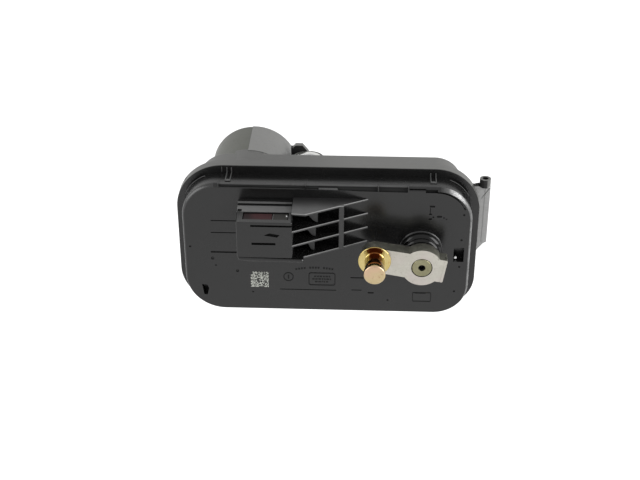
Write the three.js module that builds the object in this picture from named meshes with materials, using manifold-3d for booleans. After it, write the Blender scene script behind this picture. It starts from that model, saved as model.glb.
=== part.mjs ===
// Electric rotary actuator: flat gear case with a side-facing connector on its cover,
// a motor barrel behind it and a short steel lever with a drive pin on the output shaft.
// Millimetres, +Z up, the cover faces -Y. The group's origin is on the seat of the mounting lug.
import * as THREE from 'three';
import * as BufferGeometryUtils from 'three/addons/utils/BufferGeometryUtils.js';
import Module from 'manifold-3d';

const wasm = await Module();
wasm.setup();

// ---- driving dimensions (case frame: y = 0 is the cover's front face, z = 0 its middle) ----
const GAP = 0.3;                       // clearance between pieces that sit against each other
const RUN = 0.06;                      // radial running clearance
const COVER = { w: 128, h: 64.2, rTop: 16, rBottom: 21, wall: 2.4, front: 0, back: 13.2 };
const FLANGE = { w: 135.8, h: 71.8, r: 20, coverY: 11, caseY: 13.5, backY: 16.5 };
const TUB = { w: 122, h: 64, r: 13, back: 30, wall: 2.4 };
const SHAFT = { x: 42, z: 1.1, r: 4.5, front: -15.7 };
const MOTOR = { x: -36.5, z: 12.4, rCan: 17.6, front: 21.4, rear: 57.6 };
const BARREL = { r: 19.6, bore: 18.05, end: 60 };
const LEVER = { front: -15.5, t: 6.3, r: 8.8, arm: 20.9, armR: 5.9, angle: 170.4, tail: 10.3, tailW: 11.2 };
const LUG = { x: -10, y: 40, r: 7.7, top: 26, seat: 4, sleeveR: 6.6, boreR: 4.2 };
const LUG2 = { x: 48, y: 39, r: 7.7, top: 19, seat: 4 };
const SOCKET = { x0: -38.1, x1: -14.2, y0: -18.5, z0: 6.3, z1: 24 };
const PIN = { z: [9.75, 12.45, 15.15, 17.85, 20.55], y: -10.5 };   // connector blades
const PRESSURE = 25;                   // gear pressure angle, degrees
const STAGE = [                        // motor pinion -> gear one -> gear two -> output sector
  { m: 0.8, pinion: 12, gear: 42 },
  { m: 1.0, pinion: 14, gear: 36 },
  { m: 1.25, pinion: 12, gear: 42 },
];
const BACKLASH = 0.24;                 // taken off each tooth's width at the pitch circle

// ---- helpers ----
const group = new THREE.Group();
const SEAT = [LUG.x, LUG.y + (LUG.sleeveR + LUG.boreR) / 2, LUG.seat];

function solid(geometry) {
  const g = geometry.index ? geometry.toNonIndexed() : geometry.clone();
  g.deleteAttribute('normal');
  g.deleteAttribute('uv');
  const merged = BufferGeometryUtils.mergeVertices(g, 1e-4);
  const p = merged.attributes.position.array;
  const tri = Array.from(merged.index.array);
  const kept = [];
  let volume = 0;
  for (let i = 0; i < tri.length; i += 3) {
    const [a, b, c] = [tri[i], tri[i + 1], tri[i + 2]];
    if (a === b || b === c || c === a) continue;
    kept.push(a, b, c);
    const [A, B, C] = [a, b, c].map((k) => new THREE.Vector3(p[3 * k], p[3 * k + 1], p[3 * k + 2]));
    volume += A.dot(B.cross(C));
  }
  if (volume < 0) for (let i = 0; i < kept.length; i += 3) [kept[i], kept[i + 1]] = [kept[i + 1], kept[i]];
  return new wasm.Manifold(new wasm.Mesh({
    numProp: 3, vertProperties: Float32Array.from(p), triVerts: Uint32Array.from(kept),
  }));
}
const join = (...parts) => parts.flat(2).reduce((a, b) => a.add(b));
const cut = (body, ...tools) => tools.flat(2).reduce((a, b) => a.subtract(b), body);

function add(name, body, color, roughness, metalness = 0) {
  const mesh = body.getMesh();
  const geometry = new THREE.BufferGeometry();
  geometry.setAttribute('position', new THREE.BufferAttribute(Float32Array.from(mesh.vertProperties), 3));
  geometry.setIndex(Array.from(mesh.triVerts));
  geometry.translate(-SEAT[0], -SEAT[1], -SEAT[2]);
  const flat = geometry.toNonIndexed();
  flat.computeVertexNormals();
  const item = new THREE.Mesh(flat, new THREE.MeshStandardMaterial({ color, roughness, metalness }));
  item.name = name;
  group.add(item);
}

// an X-Z outline extruded from y0 to y1
function slab(shape, y0, y1, curveSegments = 8) {
  const g = new THREE.ExtrudeGeometry(shape, { depth: y1 - y0, bevelEnabled: false, curveSegments });
  return solid(g.rotateX(Math.PI / 2).translate(0, y1, 0));
}
function roundRect(w, h, rTop, rBottom = rTop) {
  const s = new THREE.Shape();
  const [x, z] = [w / 2, h / 2];
  s.moveTo(x, -z + rBottom);
  s.lineTo(x, z - rTop);
  s.absarc(x - rTop, z - rTop, rTop, 0, Math.PI / 2);
  s.lineTo(-x + rTop, z);
  s.absarc(-x + rTop, z - rTop, rTop, Math.PI / 2, Math.PI);
  s.lineTo(-x, -z + rBottom);
  s.absarc(-x + rBottom, -z + rBottom, rBottom, Math.PI, 1.5 * Math.PI);
  s.lineTo(x - rBottom, -z);
  s.absarc(x - rBottom, -z + rBottom, rBottom, -Math.PI / 2, 0);
  return s;
}
function poly(points) {
  return new THREE.Shape(points.map(([a, b]) => new THREE.Vector2(a, b)));
}
function box(x0, x1, y0, y1, z0, z1) {
  const g = new THREE.BoxGeometry(x1 - x0, y1 - y0, z1 - z0);
  return solid(g.translate((x0 + x1) / 2, (y0 + y1) / 2, (z0 + z1) / 2));
}
function rod(x, z, r, y0, y1, seg = 32, r1 = r) {
  return solid(new THREE.CylinderGeometry(r1, r, y1 - y0, seg).translate(x, (y0 + y1) / 2, z));
}
function post(x, y, r, z0, z1, seg = 28) {
  return solid(new THREE.CylinderGeometry(r, r, z1 - z0, seg).rotateX(Math.PI / 2)
    .translate(x, y, (z0 + z1) / 2));
}
// a closed (radius, y) profile turned about a Y axis at (x, z)
function turned(profile, x, z, seg = 36) {
  const pts = profile.map(([r, y]) => new THREE.Vector2(r, y));
  if (profile[0][0] > 1e-6) pts.push(pts[0].clone());
  return solid(new THREE.LatheGeometry(pts, seg).translate(x, 0, z));
}
const ring = (x, z, rIn, rOut, y0, y1, seg = 32) => turned([[rIn, y0], [rOut, y0], [rOut, y1], [rIn, y1]], x, z, seg);

// ---- gears: involute flanks, root and tip circles joined by straight lines ----
function gearShape(m, teeth, phase, from = 0, count = teeth, hubR = 0) {
  const rp = m * teeth / 2;
  const rb = rp * Math.cos(THREE.MathUtils.degToRad(PRESSURE));
  const ra = rp + 0.95 * m;
  const rf = rp - 1.22 * m;
  const inv = (r) => (r <= rb ? 0 : Math.sqrt((r / rb) ** 2 - 1) - Math.acos(rb / r));
  const half = Math.PI / (2 * teeth) - BACKLASH / (4 * rp) + inv(rp);
  const foot = Math.max(rb, rf + 0.1);
  const radii = [rf, foot, foot + (ra - foot) * 0.5, ra];
  const pts = [];
  const at = (r, a) => pts.push([r * Math.cos(a), r * Math.sin(a)]);
  for (let k = from; k < from + count; k++) {
    const mid = phase + (2 * Math.PI * k) / teeth;
    radii.forEach((r) => at(r, mid - half + inv(r)));
    [...radii].reverse().forEach((r) => at(r, mid + half - inv(r)));
  }
  if (count < teeth) {
    const a0 = phase + (2 * Math.PI * (from - 0.5)) / teeth;
    const a1 = phase + (2 * Math.PI * (from + count - 0.5)) / teeth;
    pts.unshift([rf * Math.cos(a0), rf * Math.sin(a0)]);
    at(rf, a1);
    at(hubR, a1 + 0.1);
    for (let k = 1; k < 16; k++) at(hubR, a1 + 0.1 + ((2 * Math.PI - (a1 - a0) - 0.2) * k) / 16);
    at(hubR, a0 - 0.1);
  }
  return pts;
}
const gear = (c, m, teeth, phase, y0, y1, ...sector) =>
  slab(poly(gearShape(m, teeth, phase, ...sector).map(([a, b]) => [a + c.x, b + c.z])), y0, y1, 1);

// centres: gear one hangs below the motor axis, gear two closes the triangle to the output shaft
const centre = STAGE.map((s) => (s.m * (s.pinion + s.gear)) / 2);
const M = { x: MOTOR.x, z: MOTOR.z };
const O = { x: SHAFT.x, z: SHAFT.z };
const down = THREE.MathUtils.degToRad(-22);
const A = { x: M.x + centre[0] * Math.cos(down), z: M.z + centre[0] * Math.sin(down) };
const span = Math.hypot(O.x - A.x, O.z - A.z);
const along = (centre[1] ** 2 - centre[2] ** 2 + span ** 2) / (2 * span);
const off = Math.sqrt(centre[1] ** 2 - along ** 2);
const dirAO = Math.atan2(O.z - A.z, O.x - A.x);
const B = {
  x: A.x + along * Math.cos(dirAO) - off * Math.sin(dirAO),
  z: A.z + along * Math.sin(dirAO) + off * Math.cos(dirAO),
};
const heading = (p, q) => Math.atan2(q.z - p.z, q.x - p.x);
// a pinion tooth points at its gear, and the gear shows it a space
const facing = (p, q) => heading(p, q);
const spaceAt = (p, q, teeth) => heading(p, q) + Math.PI / teeth;

// ---- case back: tub, motor barrel, lugs and side post ----
{
  const bore = rod(M.x, M.z, BARREL.bore, FLANGE.caseY - 1, BARREL.end - 1.8, 44);
  const inner = roundRect(TUB.w - 2 * TUB.wall, TUB.h - 2 * TUB.wall, TUB.r - 1.6);
  let body = join(
    slab(roundRect(FLANGE.w, FLANGE.h, FLANGE.r), FLANGE.caseY, FLANGE.backY),
    slab(roundRect(TUB.w, TUB.h, TUB.r), FLANGE.caseY, TUB.back),
    rod(M.x, M.z, BARREL.r, TUB.back - 4, BARREL.end - 0.8, 52),
    rod(M.x, M.z, BARREL.r, BARREL.end - 0.8, BARREL.end, 52, BARREL.r - 0.8),
    post(LUG.x, LUG.y, LUG.r, LUG.seat + 0.4, LUG.top - 0.2),
    box(LUG.x - 3.5, LUG.x + 3.5, TUB.back - 1, LUG.y, LUG.seat + 1.5, LUG.top - 3),
    slab(poly([[-18.2, 29.2], [-12, 26.6], [-5.5, 24.6], [-5.5, 10], [-18.2, 10]]), 44.2, 46.2),
    box(-15.8, -12, 43.6, 46.8, 24, 28.4),
    post(LUG2.x, LUG2.y, LUG2.r, LUG2.seat + 0.4, LUG2.top - 0.2),
    box(LUG2.x - 5, LUG2.x + 5, TUB.back - 1, LUG2.y, LUG2.seat + 1.5, LUG2.top - 3),
    rod(O.x, O.z, 9.5, TUB.back - 1, 34.2, 40),
    post(70, 16, 2.6, -2, 30.4, 24),
    slab(poly([[60, 24.2], [70, 24.2], [70.6, 23], [70.6, -1.6], [67.4, -7.4], [60, -7.4]]), 14.8, 17.4),
  );
  body = cut(body,
    slab(inner, FLANGE.caseY - 1, TUB.back - TUB.wall),
    bore,
    post(LUG.x, LUG.y, LUG.sleeveR + GAP / 2, 0, LUG.top + 5, 32),
    post(LUG2.x, LUG2.y, LUG.sleeveR + GAP / 2, 0, LUG2.top + 5, 32),
    post(70, 16, 0.9, 26, 31, 16),
    // groove for the sealing bead
    slab(roundRect(FLANGE.w - 4, FLANGE.h - 4, FLANGE.r - 2), FLANGE.caseY - 1, FLANGE.caseY + 1.4)
      .subtract(slab(roundRect(FLANGE.w - 8, FLANGE.h - 8, FLANGE.r - 4), FLANGE.caseY - 1.2, FLANGE.caseY + 1.6)),
  );
  // inner bosses for the gear axles and the rear shaft bush, and ribs between them
  body = join(body,
    rod(A.x, A.z, 3.5, 21.4, TUB.back - 1.2, 28),
    rod(B.x, B.z, 4.6, 26.9, TUB.back - 0.6, 28),
  );
  body = cut(body,
    rod(A.x, A.z, 1.5 + GAP / 2, 16, TUB.back - 1.4, 24),
    rod(B.x, B.z, 1.5 + GAP / 2, 24, TUB.back - 1.4, 24),
    rod(O.x, O.z, 6.5 + GAP / 2, 26, 32.4, 36),
  );
  add('housing', body, 0x2a2b2b, 0.5);
}

// ---- cover: domed plate, flange, connector shroud, ribs and seal collar ----
{
  const c = COVER;
  const w = c.w - 2 * c.wall;
  const h = c.h - 2 * c.wall;
  const S = SOCKET;
  const ribs = [25.8, 19, 12.1, 5.2].map((z) => {
    const s = new THREE.Shape([[18.3, 0.5], [18.3, 0], [S.x1 - 1, -18.4], [S.x1 - 1, 0.5]]
      .map(([a, b]) => new THREE.Vector2(a, b)));
    const g = new THREE.ExtrudeGeometry(s, { depth: 1.3, bevelEnabled: false });
    return solid(g.translate(0, 0, z - 0.65));
  });
  const wallAt = (x, t, top) => box(x - t / 2, x + t / 2, top, 0.5, 4.7, 26.3);
  let body = join(
    slab(roundRect(c.w - 1.6, c.h - 1.6, c.rTop - 0.8, c.rBottom - 0.8), 0, 2, 10),
    slab(roundRect(c.w, c.h, c.rTop, c.rBottom), 0.8, c.back, 10),
    slab(roundRect(FLANGE.w, FLANGE.h, FLANGE.r), FLANGE.coverY, c.back, 10),
    box(S.x0, S.x1, S.y0, 0.5, S.z0, S.z1),
    box(S.x0 + 0.8, S.x1 + 3, S.y0 + 0.4, S.y0 + 4, S.z0 - 1.3, S.z0 + 0.4),
    ribs,
    wallAt(6.6, 2.2, -6.2),
    wallAt(-5.3, 1.4, -8.5),
    rod(O.x, O.z, 10.4, 0, 6.4, 40),
  );
  body = cut(body,
    slab(roundRect(w, h, c.rTop - c.wall, c.rBottom - c.wall), c.wall, c.back + 1, 10)
      .subtract(rod(O.x, O.z, 10.4, 0, 6.4, 40))
      .subtract(box(55.4, 63, 0, 7, -6.2, 3.8))
      .subtract(box(-59, -52.6, 0, 6, -28, -18)),
    // front face steps: the long groove under the top edge
    slab(poly([[-47, 29.3], [47, 28.6], [47, 30.4], [-47, 30.4]]), -1, 0.9)
      .subtract(box(36, 42.5, -2, 2, 28, 31)),
    // vent pocket and latch slot
    box(56.7, 61.2, -1, 5.4, -4.8, 2.4),
    slab(poly([[-56.8, -20], [-54.6, -20], [-53.9, -22], [-54.6, -25], [-56.2, -24.2]]), -1, 4),
    // shaft seal seat, then the bush bore
    rod(O.x, O.z, 7.6 + GAP / 2, -1, 2.6, 40),
    rod(O.x, O.z, 6.5 + GAP / 2, 2, 7, 40),
    // connector mouth
    box(S.x0 - 1, S.x1 - 7.5, S.y0 + 1.8, -1.2, S.z0 + 1.9, S.z1 - 1.9),
    // window for the lock slide on the top wall, and the two grooves beside it
    box(-37.4, -15.6, -17.1, -12.2, S.z1 - 1.2, S.z1 + 1),
    box(-37.4, -15.6, -5.2, -4, S.z1 - 0.8, S.z1 + 1),
    // front face reliefs of the shroud
    box(-31.9, -14, S.y0 - 1, S.y0 + 0.7, 22, 22.7),
    box(-31.9, -21.4, S.y0 - 1, S.y0 + 0.7, 13, 13.8),
    // terminal slots through the back wall of the connector into the case
    PIN.z.map((z) => box(S.x1 - 9, S.x1 - 1.6, PIN.y - 0.8, PIN.y + 0.8, z - 0.6, z + 0.6)),
    PIN.z.map((z) => box(S.x1 - 3.4, S.x1 - 1.6, PIN.y - 0.8, 3, z - 0.6, z + 0.6)),
  );
  add('cover', body, 0x3a3b3c, 0.42);
  // lock slide in two colours, and the blade terminals with their carrier
  add('lock_slide', box(-37, -23.4, -16.8, -12.5, S.z1 - 0.9, S.z1 - 0.25), 0x4a2a2b, 0.5);
  add('lock_end', box(-23.1, -16, -16.8, -12.5, S.z1 - 0.9, S.z1 - 0.35), 0x5a5550, 0.5);
  add('terminal_carrier', cut(
    box(S.x1 - 10.5, S.x1 - 7.8, S.y0 + 2.2, -1.6, S.z0 + 2.3, S.z1 - 2.3),
    PIN.z.map((z) => box(S.x1 - 12, S.x1 - 7, PIN.y - 0.8, PIN.y + 0.8, z - 0.65, z + 0.65)),
  ), 0x4a2626, 0.55);
  PIN.z.forEach((z, k) => add(`terminal_${k + 1}`, join(
    box(S.x1 - 17, S.x1 - 2, PIN.y - 0.5, PIN.y + 0.5, z - 0.35, z + 0.35),
    box(S.x1 - 3, S.x1 - 2, PIN.y - 0.5, 5.2, z - 0.35, z + 0.35),
  ), 0xb9b6a8, 0.3, 1));
  add('vent_disc', rod(57.9, -2.8, 1.1, 4.9, 5.3, 20), 0xe8e8e4, 0.7);
}

// ---- bonded bead between the two flanges ----
add('sealing_bead', slab(roundRect(FLANGE.w - 4.6, FLANGE.h - 4.6, FLANGE.r - 2.3), FLANGE.caseY - 0.15, FLANGE.caseY + 1.2)
  .subtract(slab(roundRect(FLANGE.w - 7.4, FLANGE.h - 7.4, FLANGE.r - 3.7), FLANGE.caseY - 1, FLANGE.caseY + 2)), 0x1c1c1e, 0.6);

// ---- compression sleeves in the lugs ----
for (const [name, L] of [['lug_sleeve_a', LUG], ['lug_sleeve_b', LUG2]]) {
  add(name, cut(post(L.x, L.y, LUG.sleeveR, L.seat, L.top, 40), post(L.x, L.y, LUG.boreR, 0, 40, 32)), 0xc9cac6, 0.3, 1);
}

// ---- output shaft with lever, drive pin, seal, bushes and sector ----
{
  const s = SHAFT;
  add('output_shaft', turned([
    [0, s.front + 1.6], [1.45, s.front + 0.5], [1.45, s.front + 0.25], [s.r - 0.4, s.front], [s.r, s.front + 0.4],
    [s.r, -8.6], [5.4, -8.6], [5.4, -1], [5, -0.6], [5, 19], [5.6, 19], [5.6, 19.6], [5, 19.6], [5, 31.8], [0, 31.8],
  ], O.x, O.z, 32), 0xa19d7e, 0.35, 1);
  const a = THREE.MathUtils.degToRad(LEVER.angle);
  const P = { x: O.x + LEVER.arm * Math.cos(a), z: O.z + LEVER.arm * Math.sin(a) };
  const place = (pts) => pts.map(([u, v]) => [O.x + u * Math.cos(a) - v * Math.sin(a), O.z + u * Math.sin(a) + v * Math.cos(a)]);
  const back = LEVER.front + LEVER.t;
  add('lever', cut(join(
    rod(O.x, O.z, LEVER.r, LEVER.front, back, 48),
    slab(poly(place([[0, -6.2], [LEVER.arm, -LEVER.armR], [LEVER.arm, LEVER.armR], [0, 6.2]])), LEVER.front, back),
    rod(P.x, P.z, LEVER.armR, LEVER.front, back, 36),
    slab(poly(place([[0, -LEVER.tailW / 2], [0, LEVER.tailW / 2], [-LEVER.tail, LEVER.tailW / 2],
      [-LEVER.tail, -LEVER.tailW / 2]])), LEVER.front, back),
  ), rod(O.x, O.z, s.r + 0.12, -20, 0, 40), rod(P.x, P.z, 3.1, -20, 0, 32)), 0xb4afa5, 0.38, 1);
  add('drive_pin', turned([
    [0, -28], [4.2, -28], [4.65, -27.5], [4.65, -25.4], [4.1, -25.1], [4.1, -24.5], [4.3, -24.2], [4.3, -16.6],
    [6.9, -16.6], [7.15, -16.3], [7.15, LEVER.front - 0.15], [3, LEVER.front - 0.15], [3, back + 0.2],
    [2.6, back + 0.7], [0, back + 0.7],
  ], P.x, P.z, 30), 0xc9a860, 0.28, 1);
  add('shaft_seal', turned([
    [5.55, -5.3], [6.6, -5.9], [7.9, -5.6], [8.5, -4.6], [8.3, -3.6], [8.9, -3], [9.3, -2], [9.1, -1], [8.2, -0.3],
    [7.6, -0.3], [7.6, 1.8], [5.55, 1.8],
  ], O.x, O.z, 32), 0x101012, 0.25);
  add('shaft_bush_front', ring(O.x, O.z, 5 + RUN, 6.5, 2.9, 6.6), 0xa88a4e, 0.4, 1);
  add('shaft_bush_rear', ring(O.x, O.z, 5 + RUN, 6.5, 27.9, 32), 0xa88a4e, 0.4, 1);
  add('shaft_circlip', ring(O.x, O.z, 5.05, 6.9, 26.8, 27.3), 0x8b8d8f, 0.35, 1);
  const st = STAGE[2];
  const toB = spaceAt(O, B, st.gear);
  add('output_sector', cut(join(
    gear(O, st.m, st.gear, toB, 20.6, 26.4, -12, 16, 8.2),
    rod(O.x, O.z, 8.4, 19.8, 26.6, 36),
  ), rod(O.x, O.z, 5.05, 10, 30, 36)), 0xd8d2bd, 0.5);
  add('sensor_target', cut(join(
    ring(O.x, O.z, 5.3, 9.5, 10.2, 11.4, 36),
    slab(poly([[O.x - 4, O.z - 7], [O.x + 4, O.z - 7], [O.x + 9, O.z - 15], [O.x - 9, O.z - 15]]), 10.2, 11.4),
    slab(poly([[O.x - 4, O.z + 7], [O.x - 9, O.z + 15], [O.x + 9, O.z + 15], [O.x + 4, O.z + 7]]), 10.2, 11.4),
  ), []), 0xb9bcbd, 0.35, 1);
  add('sensor_hub', cut(rod(O.x, O.z, 7.6, 11.7, 18.7, 32), rod(O.x, O.z, 5.05, 10, 30, 36)), 0x26272a, 0.5);
}

// ---- two intermediate double gears on fixed axles ----
{
  const [s1, s2, s3] = STAGE;
  add('gear_one', cut(join(
    gear(A, s1.m, s1.gear, spaceAt(A, M, s1.gear), 11, 14.8),
    gear(A, s2.m, s2.pinion, facing(A, B), 14.8, 20.8),
  ), rod(A.x, A.z, 1.5 + RUN, 0, 30, 24)), 0xe0dccb, 0.5);
  add('gear_two', cut(join(
    gear(B, s2.m, s2.gear, spaceAt(B, A, s2.gear), 15.6, 20.0),
    gear(B, s3.m, s3.pinion, facing(B, O), 20.0, 26.5),
  ), rod(B.x, B.z, 1.5 + RUN, 0, 30, 24)), 0xd8cfae, 0.5);
  add('axle_one', rod(A.x, A.z, 1.5, 9.6, 28.2, 24), 0xb8babb, 0.3, 1);
  add('axle_two', rod(B.x, B.z, 1.5, 9.6, 28.2, 24), 0xb8babb, 0.3, 1);
}

// ---- brushed motor ----
{
  const m = MOTOR;
  const y0 = m.front;
  const y1 = m.rear;
  add('motor_can', cut(
    rod(M.x, M.z, m.rCan, y0 + 3.2, y1, 40),
    rod(M.x, M.z, m.rCan - 1.1, y0, y1 - 1.2, 40),
    rod(M.x, M.z, 3.5, y1 - 2, y1 + 1, 28),
  ), 0x9c9fa1, 0.4, 1);
  add('motor_endbell', cut(join(
    rod(M.x, M.z, m.rCan, y0, y0 + 2.9, 40),
    rod(M.x, M.z, m.rCan - 1.5, y0 + 2.5, y0 + 7, 40),
  ), rod(M.x, M.z, 3.5, y0 - 1, y0 + 8, 28),
  rod(M.x, M.z, m.rCan - 3.2, y0 + 3, y0 + 8, 32),
  [-1, 1].map((k) => rod(M.x + k * 12.4, M.z, 1.35, y0 - 1, y0 + 4, 20))), 0x2f2f2c, 0.5);
  const arc = (name, side) => add(name, cut(
    ring(M.x, M.z, 12.9, m.rCan - 1.4, y0 + 9, y1 - 4, 48),
    box(M.x - 30, M.x + 30, 0, 80, M.z - 5, M.z + 5),
    side > 0 ? box(M.x - 30, M.x + 30, 0, 80, M.z - 30, M.z) : box(M.x - 30, M.x + 30, 0, 80, M.z, M.z + 30),
  ), 0x3c3d41, 0.6);
  arc('magnet_upper', 1);
  arc('magnet_lower', -1);
  const slots = Array.from({ length: 5 }, (_, k) => {
    const t = (2 * Math.PI * (k + 0.5)) / 5;
    const at = (r, d) => [M.x + r * Math.cos(t) - d * Math.sin(t), M.z + r * Math.sin(t) + d * Math.cos(t)];
    return [slab(poly([at(6, -1.6), at(11.2, -4.6), at(11.2, 4.6), at(6, 1.6)]), 0, 80),
      slab(poly([at(11, -0.9), at(13, -0.9), at(13, 0.9), at(11, 0.9)]), 0, 80)];
  });
  add('armature_core', cut(rod(M.x, M.z, 12.4, y0 + 12, y1 - 7, 40), slots,
    rod(M.x, M.z, 1.65, 0, 80, 20)), 0x6e7072, 0.45, 1);
  add('armature_winding', cut(join(
    ring(M.x, M.z, 3.2, 11, y0 + 9.6, y0 + 11.8, 30), ring(M.x, M.z, 3.2, 11, y1 - 6.8, y1 - 4.6, 30),
    Array.from({ length: 5 }, (_, k) => {
      const t = (2 * Math.PI * (k + 0.5)) / 5;
      const at = (r, d) => [M.x + r * Math.cos(t) - d * Math.sin(t), M.z + r * Math.sin(t) + d * Math.cos(t)];
      return slab(poly([at(6.4, -1.5), at(10.8, -4), at(10.8, 4), at(6.4, 1.5)]), y0 + 9.6, y1 - 4.6);
    }),
  ), []), 0xa8562c, 0.4, 1);
  add('commutator', cut(ring(M.x, M.z, 1.7, 4.1, y0 + 4, y0 + 9.3, 30)), 0xb87333, 0.3, 1);
  const brush = (name, k) => add(name, box(M.x - 1.6, M.x + 1.6, y0 + 4.4, y0 + 6.8,
    M.z + (k > 0 ? 4.4 : -10.5), M.z + (k > 0 ? 10.5 : -4.4)), 0x39393b, 0.7);
  brush('brush_upper', 1);
  brush('brush_lower', -1);
  add('motor_shaft', rod(M.x, M.z, 1.6, 9.4, y1 - 0.4, 24), 0xc4c6c7, 0.25, 1);
  add('motor_pinion', cut(gear(M, STAGE[0].m, STAGE[0].pinion, facing(M, A), 10.2, 16.2),
    rod(M.x, M.z, 1.65, 0, 40, 24)), 0xb89a55, 0.35, 1);
  add('motor_bush_front', ring(M.x, M.z, 1.6 + RUN, 3.3, y0 + 0.2, y0 + 3.4, 28), 0xa88a4e, 0.4, 1);
  add('motor_bush_rear', ring(M.x, M.z, 1.6 + RUN, 3.3, y1 - 2.9, y1 - 0.1, 28), 0xa88a4e, 0.4, 1);
  for (const [n, k] of [[1, -1], [2, 1]]) {
    add(`motor_screw_${n}`, join(rod(M.x + k * 12.4, M.z, 1.2, y0 - 0.4, y0 + 2.6, 20),
      rod(M.x + k * 12.4, M.z, 2.4, y0 - 1.9, y0 - 0.3, 20)), 0xbfc1c2, 0.3, 1);
  }
}

// ---- circuit board behind the cover's front wall ----
{
  add('circuit_board', cut(
    slab(roundRect(112, 54, 10), 7, 8.5, 5),
    rod(O.x, O.z, 11.2, 0, 20, 36),
    box(54, 60, 5, 10, -8, 6),
    PIN.z.map((z) => box(SOCKET.x1 - 3.4, SOCKET.x1 - 1.6, 6, 10, z - 0.75, z + 0.75)),
  ), 0x1f4a30, 0.5);
  add('control_chip', box(8, 18, 5.1, 6.7, -22, -12), 0x18181a, 0.45);
  add('driver_chip', box(-8, 0, 5.1, 6.7, -20, -13), 0x18181a, 0.45);
  add('sensor_chip', box(26, 31, 5.3, 6.7, -20, -16), 0x18181a, 0.45);
  add('capacitor_can', rod(-50, -16, 3.4, 8.8, 16, 28), 0x9a9da0, 0.35, 1);
  add('choke', box(-38, -31, 8.8, 13.6, -21, -14), 0x2b2b2d, 0.6);
}

export default group;
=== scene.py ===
import math
import random

import bpy
import bmesh
import numpy as np
from mathutils import Matrix, Vector


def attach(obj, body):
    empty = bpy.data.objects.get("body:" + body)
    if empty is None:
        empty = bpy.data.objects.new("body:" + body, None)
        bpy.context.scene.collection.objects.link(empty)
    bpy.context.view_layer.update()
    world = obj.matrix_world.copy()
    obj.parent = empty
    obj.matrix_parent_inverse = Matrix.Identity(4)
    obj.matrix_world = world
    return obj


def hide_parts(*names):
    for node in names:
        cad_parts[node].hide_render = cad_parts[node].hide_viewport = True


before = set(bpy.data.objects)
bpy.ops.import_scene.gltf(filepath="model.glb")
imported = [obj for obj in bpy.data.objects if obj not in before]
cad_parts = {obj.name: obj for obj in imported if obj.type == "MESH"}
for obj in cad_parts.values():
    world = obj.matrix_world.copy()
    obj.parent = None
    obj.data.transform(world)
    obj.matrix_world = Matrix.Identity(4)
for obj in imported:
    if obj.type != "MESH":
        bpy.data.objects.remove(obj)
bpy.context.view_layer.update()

# Shapes are drawn in millimetres in the case frame (y = 0 is the cover's front face, z = 0 its
# middle) and moved to the row frame, whose origin is on the seat of the mounting lug.
SEAT = Vector((-10.0, 45.4, 4.0))
TO_ROW = Matrix.Scale(0.001, 4) @ Matrix.Translation(-SEAT)

SHAFT = (42.0, 1.1)         # output shaft axis (x, z)
MOTOR = (-36.5, 12.4)       # motor axis (x, z)
LUG_A, LUG_B = (-10.0, 40.0), (48, 39)      # bolt axes of the mounting lugs (x, y)
LUG_R, LUG_BORE, LUG_LOW = 7.6, 6.75, 4.4   # radius, bore radius, lower end
EAR_POST = (70.08, 16)      # axis of the post on the side ear (x, y)
CORNER = (48, 16.1)         # centre of the cover's top right corner (x, z)
# outlines: width, height and corner radii (top right, top left, bottom left, bottom right)
WALL = (128.1, 64.5, (16, 16, 17.8, 15.3))
FLANGE = (135.8, 71.8, (20.4, 21.6, 18.2, 16.2))

# camera, lamps and floor, in metres and degrees
CAMERA_PLACE = (0.02513, -0.50041, 0.26930)
YAW, PITCH, ROLL = -2.27, 30.5, 0.045
SENSOR, LENS = 36, 66.76875     # millimetres
WORLD_LIGHT = 1.1
FLOOR_LEVEL, FLOOR_HALF, FLOOR_TONE = -0.19, 6, 0.78

# ---------------------------------------------------------------- camera, light and floor


def make_camera():
    yaw, pitch, roll = math.radians(YAW), math.radians(PITCH), math.radians(ROLL)
    forward = Vector((math.sin(yaw) * math.cos(pitch), math.cos(yaw) * math.cos(pitch), -math.sin(pitch)))
    right = Vector((math.cos(yaw), -math.sin(yaw), 0))
    up = right.cross(forward)
    x = right * math.cos(roll) + up * math.sin(roll)
    y = up * math.cos(roll) - right * math.sin(roll)
    data = bpy.data.cameras.new("camera")
    data.sensor_width = SENSOR
    data.lens = LENS
    data.clip_start = 0.01
    camera = bpy.data.objects.new("camera", data)
    bpy.context.scene.collection.objects.link(camera)
    turn = Matrix((x, y, -forward)).transposed().to_4x4()
    camera.matrix_world = Matrix.Translation(Vector(CAMERA_PLACE)) @ turn
    bpy.context.scene.camera = camera


def area_light(name, place, size, power):
    """A soft box that faces the origin."""
    data = bpy.data.lights.new(name, "AREA")
    data.shape = "RECTANGLE"
    data.size, data.size_y = size
    data.energy = power
    light = bpy.data.objects.new(name, data)
    bpy.context.scene.collection.objects.link(light)
    light.location = place
    light.rotation_euler = (-Vector(place)).to_track_quat("-Z", "Y").to_euler()


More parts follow.
